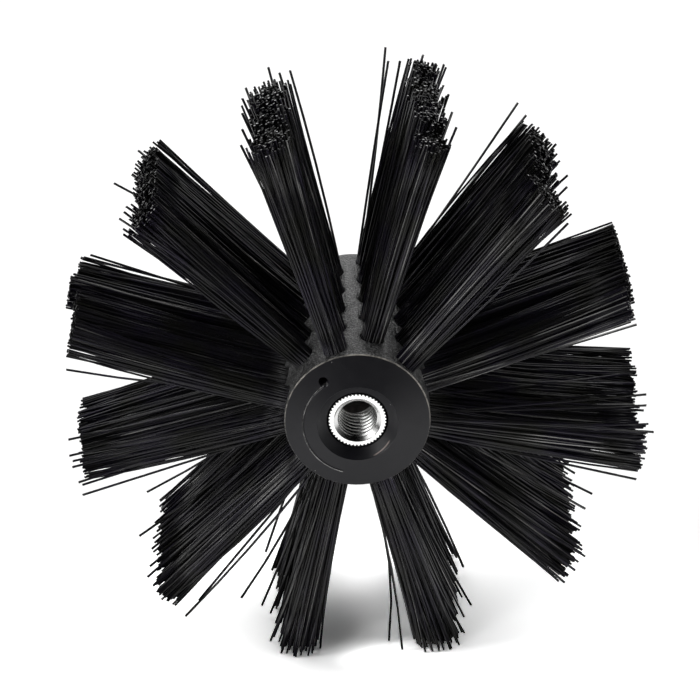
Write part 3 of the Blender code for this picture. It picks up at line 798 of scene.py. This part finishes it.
def mix(tree, share, first, second, blend="MIX"):
    """The first colour with this share of the second mixed in."""
    made = add_node(tree, "Mix", data_type="RGBA", blend_type=blend)
    sockets = (made.inputs[0], made.inputs[6], made.inputs[7])
    for socket, value in zip(sockets, (share, first, second)):
        if isinstance(value, bpy.types.NodeSocket):
            tree.links.new(value, socket)
        else:
            socket.default_value = (*value, 1) if isinstance(value, tuple) else value
    return made.outputs[2]


def bump(tree, height, strength, distance):
    """The normal of a surface raised by this height."""
    inputs = {"Height": height, "Strength": strength, "Distance": distance}
    return add_node(tree, "Bump", inputs).outputs["Normal"]


# Nylon

def nylon_material():
    """Glossy black filament whose shade and gloss differ by strand, tinted in broad patches.

    The cut ends are paler and mostly dull, a few painted pale as glints, and some strands have one side
    painted pale as a highlight line.
    """
    material, tree, shader = new_material("black nylon filament")
    shader.inputs["IOR"].default_value = NYLON_IOR
    shade = face_value(tree, "strand_shade")
    end = face_value(tree, "cut_end")
    body = ramp(tree, shade, NYLON_SHADES)
    body = mix(tree, 1.0, body, ramp(tree, noise(tree, TINT_SCALE), NYLON_TINTS), "MULTIPLY")
    # Painted highlight: one side of some strands is painted pale
    strength = ramp(tree, noise(tree, HIGHLIGHT_LINE_SCALE, 1), HIGHLIGHT_LINE_STRENGTHS)
    body = mix(tree, product(tree, face_value(tree, "highlight_line"), strength), body, HIGHLIGHT_LINE_COLOUR)
    chance = maths(tree, "FRACT", product(tree, shade, CUT_END_SHUFFLE))
    # Cut ends are paler, and a few are painted pale as glints
    colour = mix(tree, end, body, ramp(tree, chance, CUT_END_SHADES_AND_GLINTS))
    tree.links.new(colour, shader.inputs["Base Color"])
    shuffled = maths(tree, "FRACT", product(tree, shade, ROUGHNESS_SHUFFLE))
    rough = ramp(tree, shuffled, NYLON_ROUGHNESS)
    rough = mix(tree, end, rough, ramp(tree, chance, CUT_END_ROUGHNESS))
    tree.links.new(rough, shader.inputs["Roughness"])
    tree.links.new(bump(tree, noise(tree, NYLON_BUMP_SCALE), *NYLON_BUMP), shader.inputs["Normal"])
    return material


# Moulded plastic

def rim_highlight(tree, radius, height, highlight_breaks):
    """The rim's rounded edge, polished in places and painted pale there as a highlight, most of all above the
    axis.
    """
    inset, half, soft = (share * RIM_FILLET for share in RIM_LINE)
    upper = carried(tree, height, *RIM_HIGHLIGHT_HEIGHTS, RIM_HIGHLIGHT_LEAST, 1)
    return product(tree, band(tree, radius, HUB_RADIUS - inset, half, soft), highlight_breaks, upper)


def groove_lip_highlight(tree, radius, turn, highlight_breaks):
    """The arc groove's lip, painted pale as a highlight, which lies further outside the groove's middle
    towards its end.
    """
    start, end = GROOVE_ANGLES[:2]
    middle = carried(tree, turn, start, end, *GROOVE_RADII[:2], clamp=False)
    outwards = carried(tree, turn, *LIP_TURN, *LIP_OUTWARDS)
    line = band(tree, radius, maths(tree, "ADD", middle, outwards), *LIP_LINE)
    half_turn = (end - start) / 2
    return product(tree, line, band(tree, turn, start + half_turn, half_turn, LIP_END), highlight_breaks)


def dish_highlight_streak(tree, radius, angle):
    """A painted highlight: a short arc low in the dish, whose radius falls evenly with the angle."""
    middle = maths(tree, "MULTIPLY_ADD", angle, STREAK_FALL, STREAK_RADIUS)
    return product(tree, band(tree, radius, middle, *STREAK_LINE), band(tree, angle, *STREAK_ARC))


def dust(tree):
    """A speck in the middle of a few cells of a cell pattern."""
    cells = add_node(tree, "TexVoronoi", {"Vector": object_place(tree), "Scale": DUST_SCALE})
    chance = add_node(tree, "SeparateXYZ", {0: cells.outputs["Color"]}).outputs[0]
    speck = maths(tree, "LESS_THAN", cells.outputs["Distance"], DUST_SIZE)
    return product(tree, speck, maths(tree, "GREATER_THAN", chance, DUST_CHANCE))


def stud_room_painted_light(tree, radius, y):
    """The wall of the plain hole behind the insert, painted pale as painted light, where little light
    reaches.
    """
    middle = RIM_Y + INSERT_LENGTH + STUD_ROOM_DEPTH / 2
    depth = band(tree, y, middle, STUD_ROOM_DEPTH * STUD_ROOM_SHARE, STUD_ROOM_SOFT)
    return product(tree, depth, maths(tree, "LESS_THAN", radius, BORE_RADIUS))


def grain_with_painted_shade(tree, grain, y):
    """Pale grains on black, darker in patches, and darkened towards the hub's ends by painted shade."""
    # Painted shade, darker towards the hub's ends
    along = carried(tree, y, RIM_Y, -RIM_Y)
    patches = ramp(tree, noise(tree, GRAIN_PATCH_SCALE, 3, COARSE_NOISE), GRAIN_PATCHES)
    colour = mix(tree, 1.0, ramp(tree, grain, GRAIN_SHADES), ramp(tree, along, GRAIN_PAINTED_SHADE_ALONG), "MULTIPLY")
    return mix(tree, 1.0, colour, patches, "MULTIPLY")


def hub_material():
    """Smooth, dark moulded plastic on the face, and a grained finish on the hub's side and back.

    The rim is polished and carries a painted highlight, strongest above the axis; the arc groove's lip and a
    short arc low in the dish carry painted highlights, the stud room's wall is painted pale as painted light,
    the grain is darkened towards the hub's ends by painted shade, and there is a little dust.
    The radius and the angle are those round the hub's axis, and turn is the angle from 0 to a whole turn.
    """
    material, tree, shader = new_material("black moulded plastic")
    place = add_node(tree, "SeparateXYZ", {0: object_place(tree)})
    x, y = place.outputs["X"], place.outputs["Y"]
    height = maths(tree, "SUBTRACT", place.outputs["Z"], AXIS_HEIGHT)
    radius = maths(tree, "SQRT", maths(tree, "MULTIPLY_ADD", height, height, product(tree, x, x)))
    angle = maths(tree, "ARCTAN2", height, x)
    turn = maths(tree, "MULTIPLY_ADD", maths(tree, "LESS_THAN", angle, 0.0), math.tau, angle)
    front = maths(tree, "LESS_THAN", y, RIM_Y + RIM_FILLET)
    back = maths(tree, "GREATER_THAN", y, -RIM_Y - RIM_FILLET)
    outside = maths(tree, "MAXIMUM", maths(tree, "GREATER_THAN", radius, HUB_RADIUS - RIM_FILLET / 2), back)
    # Noise that breaks up the painted highlights on the rim and the groove's lip
    highlight_breaks = product(tree, ramp(tree, noise(tree, HIGHLIGHT_BREAK_SCALE, 4, COARSE_NOISE), HIGHLIGHT_BREAKS), front)
    rim = rim_highlight(tree, radius, height, highlight_breaks)
    lip_highlight = groove_lip_highlight(tree, radius, turn, highlight_breaks)
    dish_highlight = product(tree, dish_highlight_streak(tree, radius, angle), front)
    grain = noise(tree, GRAIN_SCALE, 1)

    face = ramp(tree, noise(tree, FACE_SCALE, 4), FACE_COLOURS)
    colour = mix(tree, outside, face, grain_with_painted_shade(tree, grain, y))
    # Painted light: the stud room's wall is painted pale
    colour = mix(tree, stud_room_painted_light(tree, radius, y), colour, STUD_ROOM_PAINTED_LIGHT_COLOUR)
    # Painted highlight along the groove's lip
    colour = mix(tree, product(tree, lip_highlight, LIP_HIGHLIGHT_STRENGTH), colour, LIP_HIGHLIGHT_COLOUR)
    # Painted highlight low in the dish
    colour = mix(tree, product(tree, dish_highlight, STREAK_HIGHLIGHT_STRENGTH), colour, STREAK_HIGHLIGHT_COLOUR)
    colour = mix(tree, dust(tree), colour, DUST_COLOUR)
    # Painted highlight on the rim
    colour = mix(tree, product(tree, rim, RIM_HIGHLIGHT_STRENGTH), colour, RIM_HIGHLIGHT_COLOUR)
    tree.links.new(colour, shader.inputs["Base Color"])

    rough = ramp(tree, noise(tree, FACE_ROUGHNESS_SCALE), FACE_ROUGHNESS)
    rough = mix(tree, outside, rough, ramp(tree, noise(tree, GRAIN_ROUGHNESS_SCALE), GRAIN_ROUGHNESS))
    dish = maths(tree, "LESS_THAN", radius, DISH_EDGE_RADIUS)
    dish = product(tree, dish, carried(tree, height, *DISH_DULL_HEIGHTS))
    rough = mix(tree, dish, rough, DISH_ROUGHNESS)
    rough = mix(tree, rim, rough, RIM_ROUGHNESS)
    tree.links.new(rough, shader.inputs["Roughness"])
    share = maths(tree, "MULTIPLY_ADD", outside, 1 - FACE_BUMP_SHARE, FACE_BUMP_SHARE)
    tree.links.new(bump(tree, product(tree, grain, share), *HUB_BUMP), shader.inputs["Normal"])
    return material


# Plated steel

def plated_material():
    """Bright metal with a slightly uneven polish."""
    material, tree, shader = new_material("bright plated steel")
    shader.inputs["Metallic"].default_value = 1
    tree.links.new(ramp(tree, noise(tree, PLATED_SCALE), PLATED_COLOURS), shader.inputs["Base Color"])
    rough = ramp(tree, noise(tree, PLATED_ROUGHNESS_SCALE), PLATED_ROUGHNESS)
    tree.links.new(rough, shader.inputs["Roughness"])
    tree.links.new(bump(tree, noise(tree, PLATED_BUMP_SCALE), *PLATED_BUMP), shader.inputs["Normal"])
    return material


# Floor

def seen_gain(tree, place):
    """How much lighter the camera sees the paper: a gain in the open, more or less in a few oval patches,
    which paint light onto the brush's shadow and, in one, shade.
    """
    gain = OPEN_GAIN
    for (x, y), (width, depth), core, more in FLOOR_LIGHT_AND_SHADE_PATCHES:
        centred = add_node(tree, "VectorMath", {0: place, 1: (x, y, 0)}, operation="SUBTRACT").outputs[0]
        sizes = (1 / width, 1 / depth, 1)
        scaled = add_node(tree, "VectorMath", {0: centred, 1: sizes}, operation="MULTIPLY").outputs[0]
        away = add_node(tree, "VectorMath", {0: scaled}, operation="LENGTH").outputs["Value"]
        patch = carried(tree, away, core, 1, more, 0, interpolation_type="SMOOTHSTEP")
        gain = maths(tree, "ADD", patch, gain)
    return gain


def mirrored_glow(tree, place):
    """The floor's glow in reflections, by the distance from the brush, dim just under it as a painted shadow,
    and one brighter spot.
    """
    away = add_node(tree, "VectorMath", {0: place}, operation="LENGTH").outputs["Value"]
    glow = ramp(tree, product(tree, away, 1 / FLOOR_GLOW_REACH), FLOOR_GLOW)
    away = add_node(tree, "VectorMath", {0: place, 1: BRIGHT_SPOT}, operation="DISTANCE").outputs["Value"]
    spot = carried(tree, away, *BRIGHT_SPOT_EDGES, BRIGHT_SPOT_GLOW, 0, interpolation_type="SMOOTHSTEP")
    return maths(tree, "ADD", glow, spot)


def floor_material():
    """White paper, whose shadows the camera sees lightened, most of all near the brush's feet, as painted
    light, and darkened in one patch as painted shade.

    In reflections it glows: dim just under the brush as a painted shadow, white a little way out, and fading
    with the distance, as a table in a dark room.
    """
    material, tree, shader = new_material("white floor")
    path = add_node(tree, "LightPath")
    place = object_place(tree)
    paper = add_node(tree, "BsdfDiffuse", {"Color": (PAPER, PAPER, PAPER, 1)})
    seen = add_node(tree, "BsdfDiffuse", {"Color": product(tree, seen_gain(tree, place), PAPER)})
    glow = add_node(tree, "Emission", {"Color": (1, 1, 1, 1), "Strength": mirrored_glow(tree, place)})
    camera = path.outputs["Is Camera Ray"]
    mirrored = maths(tree, "MAXIMUM", path.outputs["Is Glossy Ray"], path.outputs["Is Transmission Ray"])
    whole = add_node(tree, "MixShader", {0: camera, 1: paper.outputs[0], 2: seen.outputs[0]})
    whole = add_node(tree, "MixShader", {0: mirrored, 1: whole.outputs[0], 2: glow.outputs[0]})
    tree.links.new(whole.outputs[0], tree.nodes["Material Output"].inputs["Surface"])
    tree.nodes.remove(shader)
    return material


def build_floor():
    """A square sheet at height 0, which isn't part of the brush."""
    points = np.array([(-1, -1, 0), (1, -1, 0), (1, 1, 0), (-1, 1, 0)]) * FLOOR_HALF
    floor = bpy.data.objects.new("floor", mesh_of("floor", points, np.array([[0, 1, 2, 3]])))
    floor.data.materials.append(floor_material())
    bpy.context.scene.collection.objects.link(floor)


# Light and camera

def build_world():
    """Wide white walls and smaller windows round the brush, and white to the camera.

    Each is brightest where the direction's dot product with its own passes the second of its two edges. The
    walls give the brush more light than its reflections show, and the windows show in reflections alone.
    """
    world = bpy.data.worlds.new("studio")
    bpy.context.scene.world = world
    world.use_nodes = True
    tree = world.node_tree
    place = add_node(tree, "TexCoord").outputs["Generated"]
    path = add_node(tree, "LightPath")
    strength = 0.0
    for way, edges, reflection, light in WALLS:
        towards = add_node(tree, "VectorMath", {0: place, 1: way}, operation="DOT_PRODUCT").outputs["Value"]
        shape = carried(tree, towards, *edges)
        amount = maths(tree, "MULTIPLY_ADD", path.outputs["Is Diffuse Ray"], light - reflection, reflection)
        strength = maths(tree, "MULTIPLY_ADD", shape, amount, strength)
    strength = mix(tree, path.outputs["Is Camera Ray"], strength, (1.0, 1.0, 1.0))
    background = tree.nodes["Background"]
    background.inputs["Color"].default_value = (1, 1, 1, 1)
    tree.links.new(strength, background.inputs["Strength"])


def add_lamp(name, place, size, power):
    """A rectangular lamp that shines at LAMP_AIM."""
    lamp = bpy.data.lights.new(name, "AREA")
    lamp.shape = "RECTANGLE"
    lamp.size, lamp.size_y = size
    lamp.energy = power
    obj = bpy.data.objects.new(name, lamp)
    obj.location = place
    obj.rotation_euler = (Vector(place) - Vector(LAMP_AIM)).to_track_quat("Z", "Y").to_euler()
    bpy.context.scene.collection.objects.link(obj)


def build_camera():
    """A long lens at the photograph's angle, a little rolled, placed by the middle of the hub's rim."""
    level_share = math.cos(CAMERA_ELEVATION)
    back = Vector((math.sin(CAMERA_AZIMUTH) * level_share, -math.cos(CAMERA_AZIMUTH) * level_share,
                   math.sin(CAMERA_ELEVATION)))
    level = Vector((math.cos(CAMERA_AZIMUTH), math.sin(CAMERA_AZIMUTH), 0))
    upright = back.cross(level)
    right = math.cos(CAMERA_ROLL) * level - math.sin(CAMERA_ROLL) * upright
    up = math.sin(CAMERA_ROLL) * level + math.cos(CAMERA_ROLL) * upright
    rim = Vector((0, RIM_Y, AXIS_HEIGHT))
    aside, below = RIM_ASIDE / PIXELS_PER_METRE, RIM_BELOW / PIXELS_PER_METRE
    camera = bpy.data.cameras.new("camera")
    camera.sensor_width = SENSOR_WIDTH
    camera.lens = FOCAL_PIXELS / FRAME_PIXELS * SENSOR_WIDTH
    camera.clip_end = CAMERA_CLIP
    obj = bpy.data.objects.new("camera", camera)
    turn = Matrix((right, up, back)).transposed().to_4x4()
    turn.translation = rim - right * aside + up * below + back * CAMERA_DISTANCE
    obj.matrix_world = turn
    bpy.context.scene.collection.objects.link(obj)
    bpy.context.scene.camera = obj


def main():
    """The camera, the pieces of the brush, the floor and the light."""
    build_camera()
    nylon = nylon_material()
    for row in range(ROW_COUNT):
        build_row(row, nylon)
    hub = new_piece("hub_body", hub_mesh(), hub_material(), "hub_plastic", "hub")
    insert = new_piece("insert", insert_mesh(), plated_material(), "insert_metal", "threaded_insert")
    for obj, angle in ((hub, HUB_SMOOTH_ANGLE), (insert, INSERT_SMOOTH_ANGLE)):
        obj.data.shade_smooth()
        obj.data.set_sharp_from_angle(angle=angle)
    build_floor()
    build_world()
    for name, (place, size, power) in LAMPS.items():
        add_lamp(name, place, size, power)
    bpy.context.scene.view_settings.view_transform = "Standard"


main()
